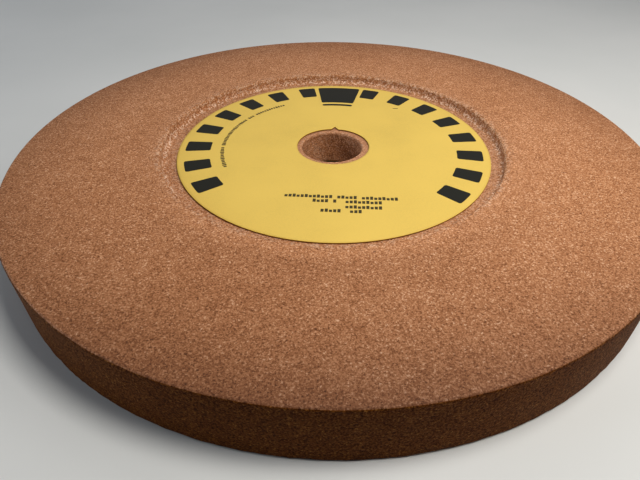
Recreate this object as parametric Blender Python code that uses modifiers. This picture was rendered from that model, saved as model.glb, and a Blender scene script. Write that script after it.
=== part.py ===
"""Recessed straight grinding wheel, 350 x 32 x 35 mm, lying flat on its underside.

The wheel is one fired body of abrasive grain, a flat ring with a round recess in each face and a plain bore.
A card blotter lies on the floor of each recess, where the machine's flanges clamp the wheel.
Metres, +Z up along the wheel's axis. The origin is on the axis, in the plane of the underside.
"""

import math

import bmesh
import bpy

# Wheel body
OUTER_R = 0.350 / 2
THICKNESS = 0.032
BORE_R = 0.035 / 2
RECESS_R = 0.195 / 2
RECESS_DEPTH = 0.006
RECESS_FILLET = 0.0024     # round corner between a recess's wall and its floor
RIM_ROUND = 0.0012         # round corner at each end of the grinding face
RECESS_ROUND = 0.0015      # round lip of each recess
BORE_ROUND = 0.0012        # round corner at each end of the bore

# Blotters
CARD_R = 0.180 / 2
CARD_HOLE_R = 0.042 / 2
CARD_THICKNESS = 0.0005
CARD_GAP = 0.0003          # between the card and the recess floor, where the paste is
FRONT_CARD_X = 0.0009      # the front card was stuck on a little off the axis, and a little turned
FRONT_CARD_Y = 0.0014
FRONT_CARD_TURN = math.radians(-2.5)
NOTCH_LENGTH = 0.0032      # V nick in the edge of the front card's hole, on its +Y side
NOTCH_WIDTH = 0.0040

# Fineness of the turned surfaces
TURN_STEPS = 96
MERGE = 0.00001
SHARP_ANGLE = math.radians(35)

FRONT_FLOOR_Z = THICKNESS - RECESS_DEPTH
REAR_FLOOR_Z = RECESS_DEPTH

COLOURS = {
    "abrasive": ((0.43, 0.17, 0.075, 1.0), 0.95),
    "front_card": ((0.80, 0.55, 0.11, 1.0), 0.75),
    "rear_card": ((0.80, 0.55, 0.11, 1.0), 0.75),
}


def clear_scene():
    for old in list(bpy.data.objects):
        bpy.data.objects.remove(old, do_unlink=True)


def new_collection(name):
    collection = bpy.data.collections.new(name)
    bpy.context.scene.collection.children.link(collection)
    return collection


def new_material(name):
    colour, roughness = COLOURS[name]
    material = bpy.data.materials.new(name)
    material.use_nodes = True
    shader = material.node_tree.nodes["Principled BSDF"]
    shader.inputs["Base Color"].default_value = colour
    shader.inputs["Roughness"].default_value = roughness
    shader.inputs["Metallic"].default_value = 0.0
    material.diffuse_color = colour
    return material


def corner_arc(before, corner, after, radius, steps):
    """Points of the arc that rounds a square corner, from the side of before to the side of after."""
    way_in = [(b - c) / math.dist(before, corner) for b, c in zip(before, corner)]
    way_out = [(a - c) / math.dist(after, corner) for a, c in zip(after, corner)]
    points = []
    for i in range(steps + 1):
        turn = math.pi / 2 * i / steps
        points.append(tuple(
            c + radius * (u * (1 - math.sin(turn)) + v * (1 - math.cos(turn)))
            for c, u, v in zip(corner, way_in, way_out)
        ))
    return points


def rounded_loop(corners):
    """Closed outline from corners (x, z, radius, steps); a radius of 0 leaves the corner sharp."""
    outline = []
    for i, (x, z, radius, steps) in enumerate(corners):
        before = corners[i - 1][:2]
        after = corners[(i + 1) % len(corners)][:2]
        outline += corner_arc(before, (x, z), after, radius, steps) if radius else [(x, z)]
    return outline


def turned(name, outline, collection, material):
    """Ring turned about Z from a closed outline of (radius, height), which runs down its outer side."""
    mesh = bpy.data.meshes.new(name)
    count = len(outline)
    mesh.from_pydata(
        [(x, 0, z) for x, z in outline],
        [(i, (i + 1) % count) for i in range(count)],
        [],
    )
    mesh.materials.append(material)
    ring = bpy.data.objects.new(name, mesh)
    collection.objects.link(ring)
    screw = ring.modifiers.new("turn", "SCREW")
    screw.angle = 2 * math.pi
    screw.steps = TURN_STEPS
    screw.render_steps = TURN_STEPS
    screw.use_merge_vertices = True
    screw.merge_threshold = MERGE

    graph = bpy.context.evaluated_depsgraph_get()
    ring.data = bpy.data.meshes.new_from_object(ring.evaluated_get(graph))
    ring.modifiers.clear()
    ring.data.shade_smooth()
    ring.data.set_sharp_from_angle(angle=SHARP_ANGLE)
    return ring


def abrasive_body(collection):
    """The fired body: rim, two recesses with round floor corners, and the plain bore, in one profile."""
    outline = rounded_loop([
        (OUTER_R, THICKNESS, RIM_ROUND, 3),
        (OUTER_R, 0, RIM_ROUND, 3),
        (RECESS_R, 0, RECESS_ROUND, 4),
        (RECESS_R, REAR_FLOOR_Z, RECESS_FILLET, 5),
        (BORE_R, REAR_FLOOR_Z, BORE_ROUND, 2),
        (BORE_R, FRONT_FLOOR_Z, BORE_ROUND, 2),
        (RECESS_R, FRONT_FLOOR_Z, RECESS_FILLET, 5),
        (RECESS_R, THICKNESS, RECESS_ROUND, 4),
    ])
    return turned("abrasive_body", outline, collection, new_material("abrasive"))


def blotter(name, material_name, low_z, collection):
    """A card ring whose lower face is at low_z."""
    outline = rounded_loop([
        (CARD_R, CARD_THICKNESS, 0, 0),
        (CARD_R, 0, 0, 0),
        (CARD_HOLE_R, 0, 0, 0),
        (CARD_HOLE_R, CARD_THICKNESS, 0, 0),
    ])
    card = turned(name, outline, collection, new_material(material_name))
    card.location = (0, 0, low_z)
    return card


def notch_cutter(card, collection):
    """Three-sided prism whose point cuts the V nick into the hole's +Y edge."""
    root = 2 * NOTCH_LENGTH    # how far the wedge reaches from its point, back into the open hole
    shape = bmesh.new()
    bmesh.ops.create_cone(
        shape, cap_ends=True, segments=3, radius1=1, radius2=1, depth=6 * CARD_THICKNESS
    )
    tip = max(vertex.co.y for vertex in shape.verts)
    base = min(vertex.co.y for vertex in shape.verts)
    half = max(vertex.co.x for vertex in shape.verts)
    for vertex in shape.verts:
        vertex.co.x *= NOTCH_WIDTH / NOTCH_LENGTH * root / (2 * half)
        vertex.co.y = CARD_HOLE_R + NOTCH_LENGTH + (vertex.co.y - tip) / (tip - base) * root
    mesh = bpy.data.meshes.new("notch_cutter")
    shape.to_mesh(mesh)
    shape.free()
    cutter = bpy.data.objects.new("notch_cutter", mesh)
    collection.objects.link(cutter)
    cutter.location = (card.location.x, card.location.y, card.location.z + CARD_THICKNESS / 2)
    cutter.rotation_euler = card.rotation_euler
    cutter.hide_render = True
    cutter.display_type = "WIRE"
    return cutter


def main():
    clear_scene()
    wheel = new_collection("recessed_grinding_wheel")
    cutters = new_collection("cutters")

    abrasive_body(wheel)

    front = blotter("front_blotter", "front_card", FRONT_FLOOR_Z + CARD_GAP, wheel)
    front.location.x = FRONT_CARD_X
    front.location.y = FRONT_CARD_Y
    front.rotation_euler.z = FRONT_CARD_TURN
    cut = front.modifiers.new("nick", "BOOLEAN")
    cut.operation = "DIFFERENCE"
    cut.object = notch_cutter(front, cutters)

    blotter("rear_blotter", "rear_card", REAR_FLOOR_Z - CARD_GAP - CARD_THICKNESS, wheel)


main()
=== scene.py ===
import math

import bpy
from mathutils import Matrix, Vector, noise


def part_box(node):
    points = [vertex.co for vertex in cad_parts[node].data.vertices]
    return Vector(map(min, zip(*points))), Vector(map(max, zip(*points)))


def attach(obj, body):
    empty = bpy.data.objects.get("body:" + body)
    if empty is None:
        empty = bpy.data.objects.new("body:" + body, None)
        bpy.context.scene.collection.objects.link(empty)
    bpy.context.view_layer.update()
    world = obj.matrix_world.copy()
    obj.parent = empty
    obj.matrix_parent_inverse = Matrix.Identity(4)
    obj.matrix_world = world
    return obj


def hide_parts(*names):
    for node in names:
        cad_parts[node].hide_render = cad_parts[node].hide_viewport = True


# A recessed grinding wheel lying flat on a pale table: its grainy fired body, and a pasted card in each
# recess. Sizes are in metres, in the frame of the CAD model, and placed from the CAD nodes' boxes.

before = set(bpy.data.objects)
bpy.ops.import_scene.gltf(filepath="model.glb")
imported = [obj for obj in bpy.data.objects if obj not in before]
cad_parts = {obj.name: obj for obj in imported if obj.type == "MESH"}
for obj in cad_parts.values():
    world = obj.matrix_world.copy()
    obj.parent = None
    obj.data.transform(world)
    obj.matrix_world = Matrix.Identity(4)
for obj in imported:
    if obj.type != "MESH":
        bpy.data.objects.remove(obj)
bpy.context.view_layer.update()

MM = 0.001

BODY_LOW, BODY_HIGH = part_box("abrasive_body")
FRONT_LOW, FRONT_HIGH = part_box("front_blotter")
REAR_LOW, REAR_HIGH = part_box("rear_blotter")

# The abrasive body, as the CAD has it
OUTER_R = (BODY_HIGH.x - BODY_LOW.x) / 2
TOP_Z = BODY_HIGH.z
MID_Z = (BODY_HIGH.z + BODY_LOW.z) / 2
PASTE = 0.3 * MM                             # the layer of paste between a card and its recess floor
FLOOR_Z = FRONT_LOW.z - PASTE
RECESS_R = 97.5 * MM
RECESS_FILLET = 2.4 * MM                     # round corner between the recess's wall and its floor
RECESS_ROUND = 1.5 * MM                      # round lip of the recess
RIM_ROUND = 1.2 * MM
BORE_R = 17.5 * MM
BORE_ROUND = 1.2 * MM
INNER_OFF = (0.2 * MM, 2.0 * MM)             # how far the bore and the recesses lie off the rim's centre
INNER_R = 104 * MM                           # what lies inside this radius is off by all of that
CENTRED_R = 112 * MM                         # and what lies outside this one by nothing
HOLE_COVER_R = 24 * MM                       # the card covers the floor from a little inside this radius
CARD_COVER_R = 86 * MM                       # to a little outside this one
LIP_FACE = 6 * MM                            # the width of the front face's strip next to the recess
RIM_FACE = 3 * MM                            # and of its strip next to the rim

# Painted shade on the front face, darker towards the rim and most on its -Y side: sides are angles from +X
# towards +Y
DARK_FROM_R = 115 * MM                       # it darkens from here to the rim
DARKEST_SIDE = math.radians(270)
RIM_DARKNESS = 0.44                          # how dark it is at the rim, of 1
RIM_DARKNESS_SWING = 0.07                    # how much darker the rim is on the darkest side
PALER_SIDES = (                              # a side, and how much paler its rim is
    (math.radians(335), 0.32),
    (math.radians(212), 0.20),
)
NEAR_DARKNESS = 0.21                         # added on the darkest side, from the recess to the rim
NEAR_FADE = 12 * MM                          # the width of the strip by the recess where that fades in

# The cards
CARD_R = (FRONT_HIGH.x - FRONT_LOW.x) / 2
CARD_HOLE_R = 21.0 * MM
CARD_THICKNESS = 0.50 * MM
CARD_ROUND = 0.08 * MM                       # the cut edge's small round
CARD_TOP_RINGS = (0.06, 0.14, 0.26, 0.38, 0.5, 0.62, 0.74, 0.86, 0.94)     # shares of the card's width
CARD_SHARP_ANGLE = math.radians(50)
EDGE_SHADE_REACH = 1.2 * MM                       # how far in from the cut edges the painted edge shade fades out
CARD_WAVE = 0.05 * MM                        # how far the paste's waves lift or lower the card
CARD_WAVE_LENGTH = 24 * MM
NICK_LENGTH = 3.2 * MM                       # V nick in the front card's hole, on its far side
NICK_HALF_WIDTH = 2.0 * MM
FRONT_CARD_TURN = math.radians(-2.5)         # how far the front card was turned when it was stuck on

# The print on the front card: plain blocks and bars, about the card's centre and turned with the card
INK_SINK = 0.06 * MM
INK_RISE = 0.04 * MM
BLOCK_COVER = 1.0                            # how much of the card the ink hides, of 1
LINE_COVER = 0.93
BLOCKS_A_SIDE = 8
BLOCK_SPACING = math.radians(15.75)
BLOCK_HALF_ANGLE = math.radians(3.9)
BLOCK_BAND = (71.5 * MM, 86.0 * MM)
HEAD_HALF_ANGLE = math.radians(10)
HEAD_BANDS = ((56.0 * MM, 58.5 * MM), (61.0 * MM, 86.0 * MM))
CORNER = 1.2 * MM                            # radius of a block's corners
CORNER_STEPS = 4
GRID_STEP = 3 * MM                           # the longest side of a block's faces
CURVED_LINE_R = 64.6 * MM
CURVED_LINE_START = math.radians(205.5)
CURVED_LINE_GROUPS = (13, 20, 3, 13)         # bars in each group
CURVED_PITCH = 1.80 * MM
CURVED_BAR = (1.15 * MM, 2.3 * MM)           # width and height
CURVED_HEIGHTS = (1.0, 0.75, 0.75, 0.9)      # shares of that height, which the bars take in turn
LINE_PITCH = 2.06 * MM
LINE_BAR = (1.5 * MM, 2.7 * MM)
LINE_HEIGHTS = (0.72, 1.0, 0.86)
LINES = (                                    # a line's height in mm, and each group's start in mm and bars
    (-53.2, ((-22.3, 12), (4.5, 5), (16.9, 9))),
    (-57.0, ((-7.7, 4), (2.6, 1), (8.8, 9))),
    (-61.4, ((8.8, 9),)),
    (-65.1, ((-3.2, 5), (11.2, 3))),
)
SINGLE_BAR = (39.0 * MM, 54.0 * MM, 3.4 * MM, 0.7 * MM)     # x, y, width and height

# How many steps a ring has round the axis
BORE_TURNS = 256
MIDDLE_TURNS = 512
WIDE_TURNS = 1024                            # on the front half, where it is over WIDE_FROM_R
CARD_TURNS = 256
MIDDLE_FROM_R = 28 * MM
WIDE_FROM_R = 60 * MM

# The abrasive's lumps: their sizes, and what share of a zone's depth they have
LUMPS = ((4 * MM, 0.6), (1.3 * MM, 0.9))

# The abrasive's grain: the size of each feature, and how far it swings the tone, of 1
GRAIN, GRAIN_SWING = 0.45 * MM, 0.56
CLUMP, CLUMP_SWING = 0.85 * MM, 1.32
PATCH, PATCH_SWING = 8 * MM, 0.24
CLOUD, CLOUD_SWING = 70 * MM, 0.20
PIT_SPACING = 9 * MM
PIT_R = 0.75 * MM
PIT_SHARE = 0.30                             # how many of the places for a pit have one, of 1
PIT_DARKNESS = 0.6
CRYSTAL = 0.85 * MM
CRYSTAL_TONES = (0.58, 0.82)                 # the grain's random tone where a crystal starts, and is full
CRYSTAL_LUMP = 1.2
PORE = 0.7 * MM
PORE_TONES = (0.34, 0.12)                    # and the same for a pore
SMOOTHING = 0.55
GRAIN_BUMP = 0.25 * MM
ABRASIVE_ROUGHNESS = (0.78, 0.58)            # of its low and its high grains
ABRASIVE_SPECULAR = (0.4, 0.1)               # of its faces, and of the grinding face

# The abrasive's colours, in linear light
ABRASIVE_TONES = (                           # from the lowest, darkest grains to the brightest, of 1
    (0.00, (0.150, 0.050, 0.014)),
    (0.30, (0.340, 0.141, 0.054)),
    (0.55, (0.470, 0.214, 0.094)),
    (0.80, (0.620, 0.320, 0.162)),
    (1.00, (0.840, 0.560, 0.380)),
)
PIT_COLOUR = (0.13, 0.045, 0.015)
CRYSTAL_COLOUR = (0.92, 0.70, 0.54)
PORE_COLOUR = (0.13, 0.045, 0.018)
SMOOTH_COLOUR = (0.50, 0.262, 0.152)         # where the surface was moulded or pasted smooth
FACE_SHADE_TINT = (0.12, 0.05, 0.0)                # what a face in full painted shade is multiplied by
SHADED_SIDE_TINTS = (                               # and the painted shade that the grinding face and rims are multiplied by, from their low grains up
    (0.30, (0.18, 0.115, 0.022)),
    (0.70, (0.38, 0.270, 0.075)),
)

# The card's fibres and colours
FIBRE = 0.5 * MM
CARD_CLOUD = 30 * MM
CARD_TINT = (0.70, 0.497, 0.116)
CARD_LIGHTER = 1.06
CARD_DARKER = 0.86
EDGE_SHADE_COLOUR = (0.25, 0.115, 0.015)           # the painted shade on its cut edges
CARD_ROUGHNESS = (0.62, 0.78)
CARD_SPECULAR = (0.35, 0.05)                 # of its face, and of its cut edges
INK_ROUGHNESS = (0.60, 0.75)
INK_SPECULAR = 0.3
INK_TONES = ((0.30, (0.011, 0.011, 0.008)), (0.60, (0.017, 0.017, 0.011)), (0.80, (0.050, 0.043, 0.027)))

# The camera
CAMERA_BACK = 258.7 * MM
CAMERA_HEIGHT = 167.6 * MM
CAMERA_PITCH = math.radians(39.28)           # below the horizon
CAMERA_TURN = math.radians(1.50)             # to the left of +Y
CAMERA_LENS = 27.73                          # focal length and sensor width, both in mm
CAMERA_SENSOR = 36

# The table and the light
TABLE_SIZE = 6
TABLE_GAP = 0.1 * MM                         # between the wheel's underside and the table
TABLE_CLOUD = 180 * MM
TABLE_GRAIN = 1.5 * MM
TABLE_ROUGHNESS = (0.70, 0.80)
TABLE_TONES = ((0.30, (0.62, 0.63, 0.615)), (0.70, (0.67, 0.675, 0.66)))
WORLD_COLOUR = (0.80, 0.88, 1.0)
WORLD_STRENGTH = 0.05
LIGHTS = {                                   # a soft light's place, target, size, power in W and colour
    "overhead": ((0.165, -0.13, 0.54), (0.05, 0, 0), (0.20, 0.20), 2.0, (1.0, 0.97, 0.93)),
    "right": ((0.55, -0.13, 0.50), (0.10, 0, 0), (0.4, 0.4), 1.55, (1.0, 0.96, 0.91)),
    "behind": ((0, 0.75, 0.50), (0, 0, 0), (1.6, 0.6), 2.1, (0.98, 0.98, 1.0)),
    "left": ((-1.20, -0.20, 0.36), (0, 0, 0), (0.6, 0.5), 5.2, (0.84, 0.91, 1.0)),
}


# ---------------------------------------------------------------- node helpers

NOISE_SPAN = (0.3, 0.7)                      # most values of a noise lie between these


class Finish:
    """One Principled material and short calls that add nodes to it."""

    def __init__(self, name):
        self.material = bpy.data.materials.new(name)
        self.material.use_nodes = True
        self.tree = self.material.node_tree
        self.shader = self.tree.nodes["Principled BSDF"]
        self.place = self.add("TexCoord").outputs["Object"]

    def add(self, kind, sockets=None, **settings):
        made = self.tree.nodes.new("ShaderNode" + kind)
        for name, value in settings.items():
            setattr(made, name, value)
        for socket, value in (sockets or {}).items():
            self.put(made.inputs[socket], value)
        return made

    def put(self, socket, value):
        if isinstance(value, bpy.types.NodeSocket):
            self.tree.links.new(value, socket)
        else:
            socket.default_value = value

    def math(self, operation, first, second):
        return self.add("Math", {0: first, 1: second}, operation=operation).outputs[0]

    def times(self, first, second):
        return self.math("MULTIPLY", first, second)

    def swing(self, value, amount):
        """A value about 0.5 turned into one about 0 that swings by amount."""
        return self.times(self.math("SUBTRACT", value, 0.5), amount)

    def total(self, first, *others):
        for other in others:
            first = self.math("ADD", first, other)
        return first

    def noise(self, size, detail=2.0, roughness=0.5):
        """Fractal noise from about 0.25 to 0.75, whose lumps are about size metres across."""
        return self.add("TexNoise", {
            "Vector": self.place, "Scale": 1 / size, "Detail": detail, "Roughness": roughness,
        }).outputs["Fac"]

    def cells(self, size):
        """The random tone, 0 to 1, of the grain that a point is in."""
        cell = self.add("TexVoronoi", {"Vector": self.place, "Scale": 1 / size})
        return self.add("SeparateColor", {"Color": cell.outputs["Color"]}).outputs["Red"]

    def spots(self, spacing, radius, share):
        """1 inside round spots of that radius, 0 elsewhere. A share of the cells has a spot."""
        cell = self.add("TexVoronoi", {"Vector": self.place, "Scale": 1 / spacing})
        near = self.range(cell.outputs["Distance"], radius / spacing, 0.5 * radius / spacing)
        tone = self.add("SeparateColor", {"Color": cell.outputs["Color"]}).outputs["Green"]
        return self.times(near, self.math("LESS_THAN", tone, share))

    def ramp(self, value, stops):
        """A colour for a value, from stops of (value, (red, green, blue))."""
        made = self.add("ValToRGB", {"Fac": value})
        elements = made.color_ramp.elements
        while len(elements) < len(stops):
            elements.new(0.5)
        for element, (position, colour) in zip(elements, stops):
            element.position = position
            element.color = rgb(*colour)
        return made.outputs["Color"]

    def mix(self, amount, first, second, blend="MIX"):
        """The first colour, with the second over it by an amount of 0 to 1."""
        made = self.add("Mix", data_type="RGBA", blend_type=blend)
        for socket, value in ((0, amount), (6, first), (7, second)):
            self.put(made.inputs[socket], value)
        return made.outputs[2]

    def range(self, value, low, high, to_low=0.0, to_high=1.0):
        """A value between low and high, brought to between to_low and to_high and kept inside them."""
        return self.add("MapRange", {
            "Value": value, "From Min": low, "From Max": high, "To Min": to_low, "To Max": to_high,
        }).outputs["Result"]

    def attribute(self, name):
        """A number that the mesh holds at each of its points."""
        return self.add("Attribute", attribute_name=name).outputs["Fac"]

    def bump(self, height, depth, strength):
        made = self.add("Bump", {"Height": height, "Distance": depth, "Strength": strength})
        return made.outputs["Normal"]

    def done(self, colour, roughness, normal, specular=0.5):
        self.put(self.shader.inputs["Base Color"], colour)
        self.put(self.shader.inputs["Roughness"], roughness)
        self.put(self.shader.inputs["Specular IOR Level"], specular)
        self.put(self.shader.inputs["Normal"], normal)
        return self.material


def rgb(red, green, blue):
    return (red, green, blue, 1.0)


# ---------------------------------------------------------------- materials

def abrasive_material():
    """Fired corundum: packed brown grains with lighter crystals and dark pores between them."""
    finish = Finish("abrasive")
    crystal_zone = finish.attribute("crystals")
    pore_zone = finish.attribute("pores")
    smooth_zone = finish.attribute("smooth")
    # the grinding face and rims, which take painted shade and less specular
    shaded_side_zone = finish.attribute("shaded_side")
    # painted shade on the front face, darker towards its rim
    face_shade_zone = finish.attribute("face_shade")

    # packed grains, with a few open pits
    grains = finish.cells(GRAIN)
    clumps = finish.noise(CLUMP, roughness=0.6)
    patches = finish.noise(PATCH)
    clouds = finish.noise(CLOUD)
    tone = finish.total(
        finish.swing(grains, GRAIN_SWING), finish.swing(clumps, CLUMP_SWING),
        finish.swing(patches, PATCH_SWING), finish.swing(clouds, CLOUD_SWING), 0.5,
    )
    colour = finish.ramp(tone, ABRASIVE_TONES)
    pits = finish.spots(PIT_SPACING, PIT_R, PIT_SHARE)
    colour = finish.mix(finish.times(pits, PIT_DARKNESS), colour, rgb(*PIT_COLOUR))

    # walls that were left as moulded: bigger grains, with bright broken faces and deep pores
    big_grains = finish.cells(CRYSTAL)
    crystals = finish.times(finish.range(big_grains, *CRYSTAL_TONES), crystal_zone)
    pores = finish.times(finish.range(finish.cells(PORE), *PORE_TONES), pore_zone)
    colour = finish.mix(crystals, colour, rgb(*CRYSTAL_COLOUR))
    colour = finish.mix(pores, colour, rgb(*PORE_COLOUR))
    colour = finish.mix(finish.times(smooth_zone, SMOOTHING), colour, rgb(*SMOOTH_COLOUR))

    # painted shade: on the front face towards its rim, and on the grinding face and rims, where it is
    # deepest in the low grains
    colour = finish.mix(face_shade_zone, colour, rgb(*FACE_SHADE_TINT), blend="MULTIPLY")
    shaded_side_tint = finish.ramp(clumps, SHADED_SIDE_TINTS)
    colour = finish.mix(shaded_side_zone, colour, shaded_side_tint, blend="MULTIPLY")

    rough_zone = finish.math("MAXIMUM", crystal_zone, pore_zone)
    lumps = finish.times(finish.times(rough_zone, big_grains), CRYSTAL_LUMP)
    normal = finish.bump(finish.total(tone, lumps), GRAIN_BUMP, 0.8)
    roughness = finish.range(tone, 0.2, 0.9, *ABRASIVE_ROUGHNESS)
    specular = finish.range(shaded_side_zone, 0.0, 1.0, *ABRASIVE_SPECULAR)
    return finish.done(colour, roughness, normal, specular)


def card_material(name):
    """Coloured blotter card: fine fibres, faint cloudiness, and painted shade along its cut edges."""
    finish = Finish(name)
    fibres = finish.noise(FIBRE, detail=4.0, roughness=0.7)
    clouds = finish.noise(CARD_CLOUD, detail=3.0)
    edge_shade = finish.attribute("edge")
    light = [channel * CARD_LIGHTER for channel in CARD_TINT]
    dark = [channel * CARD_DARKER for channel in CARD_TINT]
    tone = finish.total(finish.times(fibres, 0.6), finish.times(clouds, 0.4))
    colour = finish.ramp(tone, ((0.28, dark), (0.50, CARD_TINT), (0.74, light)))
    # painted shade on the cut edges
    colour = finish.mix(finish.range(edge_shade, 0.1, 1.0), colour, rgb(*EDGE_SHADE_COLOUR))
    normal = finish.bump(fibres, 0.03 * MM, 0.5)
    roughness = finish.range(fibres, *NOISE_SPAN, *CARD_ROUGHNESS)
    specular = finish.range(edge_shade, 0.25, 1.0, *CARD_SPECULAR)
    return finish.done(colour, roughness, normal, specular)


def ink_material(name, cover):
    """Black printing ink that has sunk a little into the card. Cover is the share of the card it hides."""
    finish = Finish(name)
    fibres = finish.noise(FIBRE, detail=4.0, roughness=0.7)
    colour = finish.mix(cover, rgb(*CARD_TINT), finish.ramp(fibres, INK_TONES))
    normal = finish.bump(fibres, 0.02 * MM, 0.4)
    roughness = finish.range(fibres, *NOISE_SPAN, *INK_ROUGHNESS)
    return finish.done(colour, roughness, normal, INK_SPECULAR)


def table_material():
    """Pale painted table top."""
    finish = Finish("table_top")
    clouds = finish.noise(TABLE_CLOUD, detail=3.0)
    fine = finish.noise(TABLE_GRAIN)
    colour = finish.ramp(clouds, TABLE_TONES)
    normal = finish.bump(fine, 0.02 * MM, 0.2)
    roughness = finish.range(fine, *NOISE_SPAN, *TABLE_ROUGHNESS)
    return finish.done(colour, roughness, normal)


# ---------------------------------------------------------------- meshes

def new_piece(name, points, faces, material):
    mesh = bpy.data.meshes.new(name)
    mesh.from_pydata(points, [], faces)
    mesh.materials.append(material)
    mesh.shade_smooth()
    piece = bpy.data.objects.new(name, mesh)
    bpy.context.scene.collection.objects.link(piece)
    return piece


def point_attribute(piece, name, values):
    attribute = piece.data.attributes.new(name, "FLOAT", "POINT")
    attribute.data.foreach_set("value", values)


def join_rings(faces, near, near_turns, far, far_turns):
    """Faces between two rings of points that start at near and far in the mesh.

    The rings have equally many points, or one has twice the other's. Then triangles join them.
    """
    if near_turns == far_turns:
        for i in range(near_turns):
            j = (i + 1) % near_turns
            faces.append((near + i, far + i, far + j, near + j))
    elif far_turns == 2 * near_turns:
        for i in range(near_turns):
            j = (i + 1) % near_turns
            low, middle, high = far + 2 * i, far + 2 * i + 1, far + 2 * j
            faces.append((near + i, low, middle))
            faces.append((near + i, middle, near + j))
            faces.append((near + j, middle, high))
    else:
        for i in range(far_turns):
            j = (i + 1) % far_turns
            low, middle, high = near + 2 * i, near + 2 * i + 1, near + 2 * j
            faces.append((far + i, middle, low))
            faces.append((far + i, far + j, middle))
            faces.append((far + j, high, middle))


# ---------------------------------------------------------------- the abrasive body

class Ring:
    """One turn of the body's outline: its radius and height, the way its surface faces, and its zone."""

    def __init__(self, radius, height, out, up, zone):
        self.radius, self.height, self.out, self.up, self.zone = radius, height, out, up, zone
        self.turns = BORE_TURNS if radius < MIDDLE_FROM_R else MIDDLE_TURNS


def straight(start, end, steps, zone):
    """Rings after start up to end, both (radius, height). The surface faces to the left of the way."""
    length = math.dist(start, end)
    along = ((end[0] - start[0]) / length, (end[1] - start[1]) / length)
    return [
        Ring(
            start[0] + (end[0] - start[0]) * i / steps, start[1] + (end[1] - start[1]) * i / steps,
            -along[1], along[0], zone,
        )
        for i in range(1, steps + 1)
    ]


def rounded(centre, radius, start, end, steps, zone, hollow=False):
    """Rings after the start of an arc up to its end, with angles in degrees from +radius towards +height.

    The arc is round the outside of a corner, or the inside of a hollow one.
    """
    rings = []
    for i in range(1, steps + 1):
        angle = math.radians(start + (end - start) * i / steps)
        out, up = math.cos(angle), math.sin(angle)
        place = (centre[0] + radius * out, centre[1] + radius * up)
        facing = -1 if hollow else 1
        rings.append(Ring(*place, facing * out, facing * up, zone))
    return rings


def half_outline(fine):
    """The outline from the middle of the bore, over the front face, to the middle of the grinding face."""
    bore_edge = (BORE_R + BORE_ROUND, FLOOR_Z - BORE_ROUND)
    outline = straight((BORE_R, MID_Z), (BORE_R, bore_edge[1]), 13, "bore")
    outline += rounded(bore_edge, BORE_ROUND, 180, 90, 3, "bore_edge")

    fillet = (RECESS_R - RECESS_FILLET, FLOOR_Z + RECESS_FILLET)
    outline += straight((bore_edge[0], FLOOR_Z), (HOLE_COVER_R, FLOOR_Z), 7, "floor")
    outline += straight((HOLE_COVER_R, FLOOR_Z), (CARD_COVER_R, FLOOR_Z), 3, "outer_floor")
    outline += straight((CARD_COVER_R, FLOOR_Z), (fillet[0], FLOOR_Z), 7 if fine else 3, "outer_floor")

    lip = (RECESS_R + RECESS_ROUND, TOP_Z - RECESS_ROUND)
    outline += rounded(fillet, RECESS_FILLET, 270, 330, 6 if fine else 4, "fillet", hollow=True)
    outline += rounded(fillet, RECESS_FILLET, 330, 360, 2 if fine else 1, "wall", hollow=True)
    outline += straight((RECESS_R, fillet[1]), (RECESS_R, lip[1]), 2, "wall")
    outline += rounded(lip, RECESS_ROUND, 180, 150, 2 if fine else 1, "wall")
    outline += rounded(lip, RECESS_ROUND, 150, 90, 5 if fine else 3, "lip")

    rim = (OUTER_R - RIM_ROUND, TOP_Z - RIM_ROUND)
    face_start = (RECESS_R + LIP_FACE, TOP_Z)
    face_end = (OUTER_R - RIM_FACE, TOP_Z)
    outline += straight((lip[0], TOP_Z), face_start, 2, "lip_face")
    outline += straight(face_start, face_end, 11 if fine else 6, "face")
    outline += straight(face_end, (rim[0], TOP_Z), 2, "rim_face")

    outline += rounded(rim, RIM_ROUND, 90, 50, 2, "rim_face")
    outline += rounded(rim, RIM_ROUND, 50, 0, 3, "rim")
    outline += straight((OUTER_R, rim[1]), (OUTER_R, MID_Z), 8, "side")
    if fine:
        for ring in outline:
            ring.turns = WIDE_TURNS if ring.radius > WIDE_FROM_R else ring.turns
    return outline


def mirrored(outline):
    """The outline's rings on the rear half, run back from the grinding face to the bore."""
    for ring in outline:
        ring.height, ring.up = 2 * MID_Z - ring.height, -ring.up
    return outline[-2::-1]


# zone: (depth of its lumps, and its shares of crystals, pores, smooth and shaded side, which takes the
# painted shade)
ZONES = {
    "bore": (0.10 * MM, 0.20, 0.40, 0.05, 0.0),
    "bore_edge": (0.10 * MM, 0.30, 0.25, 0.5, 0.0),
    "floor": (0.015 * MM, 0.0, 0.10, 0.85, 0.0),
    "outer_floor": (0.03 * MM, 0.25, 0.2, 0.10, 0.0),
    "fillet": (0.18 * MM, 0.72, 0.2, 0.0, 0.0),
    "wall": (0.24 * MM, 0.55, 0.10, 0.0, 0.0),
    "lip": (0.20 * MM, 0.3, 0.3, 0.0, 0.0),
    "lip_face": (0.04 * MM, 0.05, 0.05, 0.0, 0.0),
    "face": (0.012 * MM, 0.0, 0.0, 0.0, 0.0),
    "rim_face": (0.03 * MM, 0.0, 0.0, 0.0, 0.0),
    "rim": (0.12 * MM, 0.0, 0.3, 0.0, 1.0),
    "side": (0.05 * MM, 0.0, 0.0, 0.0, 1.0),
}


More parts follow.
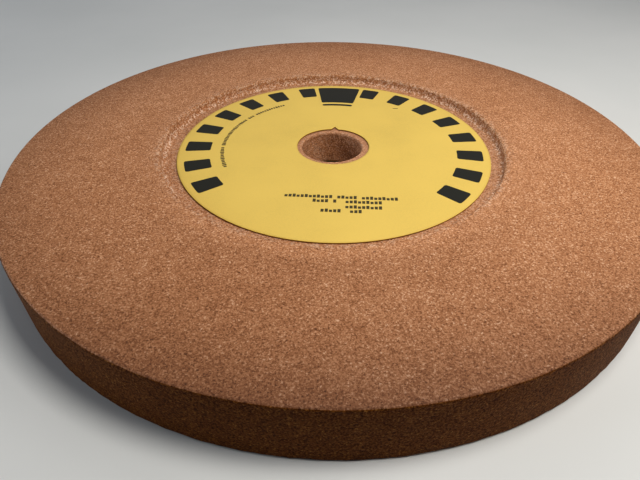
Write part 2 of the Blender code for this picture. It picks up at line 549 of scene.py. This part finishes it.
def painted_face_shade(angle, ring):
    """How much painted shade darkens the face here: most near the rim, and on its darkest side."""
    if ring.zone not in ("face", "rim_face"):
        return 0.0
    out = max(0.0, (ring.radius - DARK_FROM_R) / (OUTER_R - DARK_FROM_R))
    toward_darkest = math.cos(angle - DARKEST_SIDE)
    at_rim = RIM_DARKNESS + RIM_DARKNESS_SWING * toward_darkest
    for side, less in PALER_SIDES:
        at_rim -= less * max(0.0, math.cos(angle - side)) ** 4
    inner = min(1.0, max(0.0, (ring.radius - RECESS_R) / NEAR_FADE))
    return at_rim * out ** 2 + NEAR_DARKNESS * inner * max(0.0, toward_darkest) ** 2


def off_centre(ring):
    """How far this ring's centre lies off the rim's: the bore and the recesses are a little off it."""
    share = min(1.0, max(0.0, (CENTRED_R - ring.radius) / (CENTRED_R - INNER_R)))
    return (share * INNER_OFF[0], share * INNER_OFF[1])


def relief(place, depth):
    """Height of the broken surface's lumps here, in metres."""
    return depth * sum(share * noise.noise(place / size) for size, share in LUMPS)


# zone: (depth, size of the big chips, size and share of the small ones, how much of the edge they take)
CRUMBLING = {
    "lip": (0.35 * MM, 3 * MM, 1.1 * MM, 0.7, 0.3),
    "rim": (0.25 * MM, 6 * MM, 1.6 * MM, 0.8, 0.15),
}


def crumbled(place, zone):
    """How far the edge of a lip or rim has crumbled away here, in metres."""
    if zone not in CRUMBLING:
        return 0.0
    depth, big, small, small_share, more = CRUMBLING[zone]
    ragged = noise.noise(place / big) + small_share * noise.noise(place / small)
    return depth * max(0.0, ragged + more)


def body_mesh():
    """The whole body: every ring of the outline turned about Z, with its lumps, chips and zone values."""
    outline = half_outline(fine=True) + mirrored(half_outline(fine=False))
    points, faces, first, face_shade = [], [], [], []
    zone_values = {"crystals": [], "pores": [], "smooth": [], "shaded_side": []}
    for ring in outline:
        first.append(len(points))
        depth, *shares = ZONES[ring.zone]
        x, y = off_centre(ring)
        for turn in range(ring.turns):
            angle = 2 * math.pi * turn / ring.turns
            across, along = math.cos(angle), math.sin(angle)
            place = Vector((ring.radius * across, ring.radius * along, ring.height))
            lift = relief(place, depth) - crumbled(place, ring.zone)
            radius = ring.radius + ring.out * lift
            points.append((x + radius * across, y + radius * along, ring.height + ring.up * lift))
            face_shade.append(painted_face_shade(angle, ring))
        for values, share in zip(zone_values.values(), shares):
            values += [share] * ring.turns
    for index, ring in enumerate(outline):
        after = (index + 1) % len(outline)
        join_rings(faces, first[index], ring.turns, first[after], outline[after].turns)
    body = new_piece("abrasive_wheel", points, faces, abrasive_material())
    for name, values in zone_values.items():
        point_attribute(body, name, values)
    # the front face's painted shade, at each point
    point_attribute(body, "face_shade", face_shade)
    return body


# ---------------------------------------------------------------- the cards

def card_lift(x, y):
    """How far the paste's waves lift a card at a place, in metres."""
    return CARD_WAVE * noise.noise(Vector((x, y, 0)) / CARD_WAVE_LENGTH)


def hole_edge(angle, nicked):
    """Radius of a card's hole at an angle about its centre. The nick is at the hole's +Y side."""
    off = abs(angle - math.pi / 2) * CARD_HOLE_R
    depth = NICK_LENGTH * max(0.0, 1 - off / NICK_HALF_WIDTH) if nicked else 0.0
    return CARD_HOLE_R + depth


def card_mesh(name, material, centre, base_z, facing, nicked, turned=0.0):
    """A card ring that lies on base_z. Facing is 1 for a card whose free face is up, -1 for down."""
    width = CARD_R - CARD_HOLE_R
    side_height = CARD_THICKNESS - CARD_ROUND
    # each ring's distance from the hole's edge, height, and painted edge shade
    hole = [(0.0, 0.0, 1.0), (0.0, side_height, 1.0)]
    near_hole = [(CARD_ROUND, CARD_THICKNESS, 0.25), (EDGE_SHADE_REACH, CARD_THICKNESS, 0.1)]
    top = [(share * width, CARD_THICKNESS, 0.0) for share in CARD_TOP_RINGS]
    near_rim = [(width - EDGE_SHADE_REACH, CARD_THICKNESS, 0.1), (width - CARD_ROUND, CARD_THICKNESS, 0.25)]
    rim = [(width, side_height, 1.0), (width, 0.0, 1.0)]
    rings = hole + near_hole + top + near_rim + rim
    points, faces, edge_shade = [], [], []
    for out, height, edge_shade_share in rings:
        for turn in range(CARD_TURNS):
            angle = 2 * math.pi * turn / CARD_TURNS
            edge = hole_edge(angle, nicked)
            radius = edge + (CARD_R - edge) * out / width
            x = centre.x + radius * math.cos(angle + turned)
            y = centre.y + radius * math.sin(angle + turned)
            points.append((x, y, base_z + facing * (height + card_lift(x, y))))
            edge_shade.append(edge_shade_share)
    for index in range(len(rings)):
        after = (index + 1) % len(rings)
        join_rings(faces, index * CARD_TURNS, CARD_TURNS, after * CARD_TURNS, CARD_TURNS)
    if facing < 0:
        faces = [tuple(reversed(face)) for face in faces]
    card = new_piece(name, points, faces, material)
    card.data.set_sharp_from_angle(angle=CARD_SHARP_ANGLE)
    point_attribute(card, "edge", edge_shade)
    return card


# ---------------------------------------------------------------- the print

class Print:
    """A thin printed layer on the front card, made of separate flat marks. Its +Y is the print's top."""

    def __init__(self, centre, card_z, turned):
        self.centre, self.card_z = centre, card_z
        self.cos, self.sin = math.cos(turned), math.sin(turned)
        self.points, self.faces = [], []

    def add_mark(self, grid):
        """A mark from a grid of (x, y) about the card's centre.

        Its rows follow each other outward or to the right, and each row runs to the left of that way.
        """
        rows, columns = len(grid), len(grid[0])
        count = rows * columns
        top = len(self.points)
        for rise in (INK_RISE, -INK_SINK):
            for row in grid:
                for across, along in row:
                    x = self.centre.x + across * self.cos - along * self.sin
                    y = self.centre.y + across * self.sin + along * self.cos
                    self.points.append((x, y, self.card_z + card_lift(x, y) + rise))
        for i in range(rows - 1):
            for j in range(columns - 1):
                corner = top + i * columns + j
                face = (corner, corner + columns, corner + columns + 1, corner + 1)
                underside = tuple(point + count for point in reversed(face))
                self.faces += [face, underside]
        border = [i * columns for i in range(rows)]
        border += [(rows - 1) * columns + j for j in range(1, columns)]
        border += [i * columns + columns - 1 for i in reversed(range(rows - 1))]
        border += list(reversed(range(1, columns - 1)))
        for here, after in zip(border, border[1:] + border[:1]):
            self.faces.append((top + here, top + count + here, top + count + after, top + after))

    def add_block(self, middle, half_angle, low_r, high_r):
        """A round-cornered block of a ring, middle being its direction from the card's centre."""
        half_width = half_angle * (low_r + high_r) / 2
        half_flat = half_width - CORNER
        flat_steps = max(1, round(2 * half_flat / GRID_STEP))
        # each station's place along the block's width, and how far the round corners draw its ends in
        side = []
        for i in range(CORNER_STEPS + 1):
            turn = math.pi / 2 * i / CORNER_STEPS
            side.append((half_width - CORNER * (1 - math.cos(turn)), CORNER * (1 - math.sin(turn))))
        flat = [(half_flat * (2 * i / flat_steps - 1), 0.0) for i in range(1, flat_steps)]
        stations = [(-along, inset) for along, inset in side] + flat + list(reversed(side))
        row_steps = max(1, round((high_r - low_r) / GRID_STEP))
        grid = []
        for i in range(row_steps + 1):
            row = []
            for along, inset in stations:
                radius = low_r + inset + (high_r - low_r - 2 * inset) * i / row_steps
                angle = middle + half_angle * along / half_width
                row.append((radius * math.cos(angle), radius * math.sin(angle)))
            grid.append(row)
        self.add_mark(grid)

    def add_bar(self, x, y, width, height, turn=0.0):
        """A small upright bar whose middle is at x, y, turned about that middle."""
        cos, sin = math.cos(turn), math.sin(turn)
        grid = [
            [(x + u * cos - v * sin, y + u * sin + v * cos) for v in (-height / 2, height / 2)]
            for u in (-width / 2, width / 2)
        ]
        self.add_mark(grid)

    def add_blocks(self):
        """The ring of blocks, and the big block with a band under it at the print's top."""
        top = math.pi / 2
        for side in (-1, 1):
            for i in range(1, BLOCKS_A_SIDE + 1):
                self.add_block(top + side * i * BLOCK_SPACING, BLOCK_HALF_ANGLE, *BLOCK_BAND)
        for band in HEAD_BANDS:
            self.add_block(top, HEAD_HALF_ANGLE, *band)

    def add_lines(self):
        """Lines of little bars where the real card has small print."""
        width, full_height = LINE_BAR
        for y, groups in LINES:
            for start, bars in groups:
                for i in range(bars):
                    x = start * MM + (i + 0.5) * LINE_PITCH
                    height = full_height * LINE_HEIGHTS[(2 * i + bars) % len(LINE_HEIGHTS)]
                    self.add_bar(x, y * MM - (full_height - height) / 2, width, height)
        self.add_bar(*SINGLE_BAR)

    def add_curved_line(self):
        """A line of little bars that follows the ring, read from inside."""
        width, full_height = CURVED_BAR
        before = 0
        for bars in CURVED_LINE_GROUPS:
            for i in range(bars):
                angle = CURVED_LINE_START - (before + i) * CURVED_PITCH / CURVED_LINE_R
                height = full_height * CURVED_HEIGHTS[(3 * i + bars) % len(CURVED_HEIGHTS)]
                x, y = CURVED_LINE_R * math.cos(angle), CURVED_LINE_R * math.sin(angle)
                self.add_bar(x, y, width, height, angle - math.pi / 2)
            before += bars + 1

    def piece(self, name, material):
        made = new_piece(name, self.points, self.faces, material)
        made.data.shade_flat()
        return made


# ---------------------------------------------------------------- the object

body = body_mesh()
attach(body, "root")
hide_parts("abrasive_body")

FRONT_CENTRE = (FRONT_LOW + FRONT_HIGH) / 2
REAR_CENTRE = (REAR_LOW + REAR_HIGH) / 2
FRONT_BASE_Z = FRONT_LOW.z
REAR_BASE_Z = REAR_HIGH.z

front_card = card_mesh(
    "front_card", card_material("front_card"), FRONT_CENTRE, FRONT_BASE_Z,
    facing=1, nicked=True, turned=FRONT_CARD_TURN,
)
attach(front_card, "root")
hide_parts("front_blotter")

rear_card = card_mesh(
    "rear_card", card_material("rear_card"), REAR_CENTRE, REAR_BASE_Z,
    facing=-1, nicked=False,
)
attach(rear_card, "root")
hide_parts("rear_blotter")

blocks = Print(FRONT_CENTRE, FRONT_BASE_Z + CARD_THICKNESS, FRONT_CARD_TURN)
blocks.add_blocks()
lines = Print(FRONT_CENTRE, FRONT_BASE_Z + CARD_THICKNESS, FRONT_CARD_TURN)
lines.add_lines()
lines.add_curved_line()
print_pieces = (
    blocks.piece("print_blocks", ink_material("block_ink", BLOCK_COVER)),
    lines.piece("print_lines", ink_material("line_ink", LINE_COVER)),
)
for layer in print_pieces:
    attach(layer, "root")


# ---------------------------------------------------------------- the studio

bpy.ops.mesh.primitive_plane_add(size=TABLE_SIZE)
table = bpy.context.object
table.name = "table_top"
table.location.z = BODY_LOW.z - TABLE_GAP
table.data.materials.append(table_material())

world = bpy.data.worlds.new("studio")
world.use_nodes = True
world.node_tree.nodes["Background"].inputs["Color"].default_value = rgb(*WORLD_COLOUR)
world.node_tree.nodes["Background"].inputs["Strength"].default_value = WORLD_STRENGTH
bpy.context.scene.world = world


def soft_light(name, place, target, size, power, colour):
    lamp = bpy.data.lights.new(name, "AREA")
    lamp.shape = "RECTANGLE"
    lamp.size, lamp.size_y = size
    lamp.energy = power
    lamp.color = colour
    holder = bpy.data.objects.new(name, lamp)
    bpy.context.scene.collection.objects.link(holder)
    holder.location = place
    holder.rotation_euler = (Vector(target) - Vector(place)).to_track_quat("-Z", "Y").to_euler()
    holder.visible_camera = False


for light_name, light_settings in LIGHTS.items():
    soft_light(light_name, *light_settings)

camera = bpy.data.objects.new("camera", bpy.data.cameras.new("camera"))
bpy.context.scene.collection.objects.link(camera)
camera.data.lens = CAMERA_LENS
camera.data.sensor_width = CAMERA_SENSOR
camera.location = (0, -CAMERA_BACK, CAMERA_HEIGHT)
camera.rotation_euler = (math.pi / 2 - CAMERA_PITCH, 0, CAMERA_TURN)
bpy.context.scene.camera = camera
bpy.context.scene.view_settings.view_transform = "Standard"
bpy.context.scene.view_settings.look = "Medium High Contrast"
